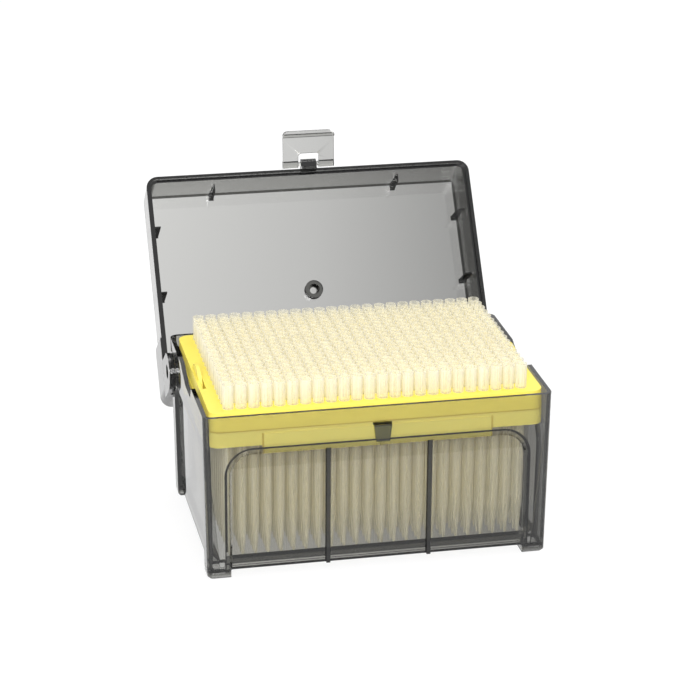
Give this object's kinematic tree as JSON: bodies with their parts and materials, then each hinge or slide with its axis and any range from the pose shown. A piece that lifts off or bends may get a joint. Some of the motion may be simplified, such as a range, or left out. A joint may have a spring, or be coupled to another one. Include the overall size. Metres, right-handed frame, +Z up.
{
  "type": "pipette tip box",
  "caption": "Hinged smoke-clear box with a yellow tray of small pipette tips, lid open and its snap clip raised.",
  "frame": {"origin": "middle of the rectangle that the four feet stand on, at ground level", "axes": "+Z up, +X along the long side to the right seen from the catch, +Y from the catch to the hinge side"},
  "size_m": [0.1266, 0.1483, 0.1213],
  "materials": {
    "smoke": "clear, polished, tinted grey",
    "tray": "satin moulded plastic",
    "tips": "natural translucent plastic",
    "clip": "clear, polished, lightly tinted"
  },
  "bodies": {
    "base": {"base": "smoke", "tip_tray": "tray", "tips_row_a": "tips", "tips_row_b": "tips", "tips_row_c": "tips", "tips_row_d": "tips", "tips_row_e": "tips", "tips_row_f": "tips", "tips_row_g": "tips", "tips_row_h": "tips", "tips_row_i": "tips", "tips_row_j": "tips", "tips_row_k": "tips", "tips_row_l": "tips", "tips_row_m": "tips", "tips_row_n": "tips", "tips_row_o": "tips", "tips_row_p": "tips"},
    "lid": {"lid": "smoke"},
    "clip": {"latch_clip": "clip"}
  },
  "joints": [
    {"name": "lid_hinge", "type": "hinge", "parent": "base", "child": "lid", "pos_m": [0, 0.0359, 0.0485], "axis": [1, 0, 0], "range_deg": [0, 125]},
    {"name": "clip_hinge", "type": "hinge", "parent": "lid", "child": "clip", "pos_m": [0, 0.09084, 0.10831], "axis": [1, 0, 0], "range_deg": [0, 58]}
  ]
}
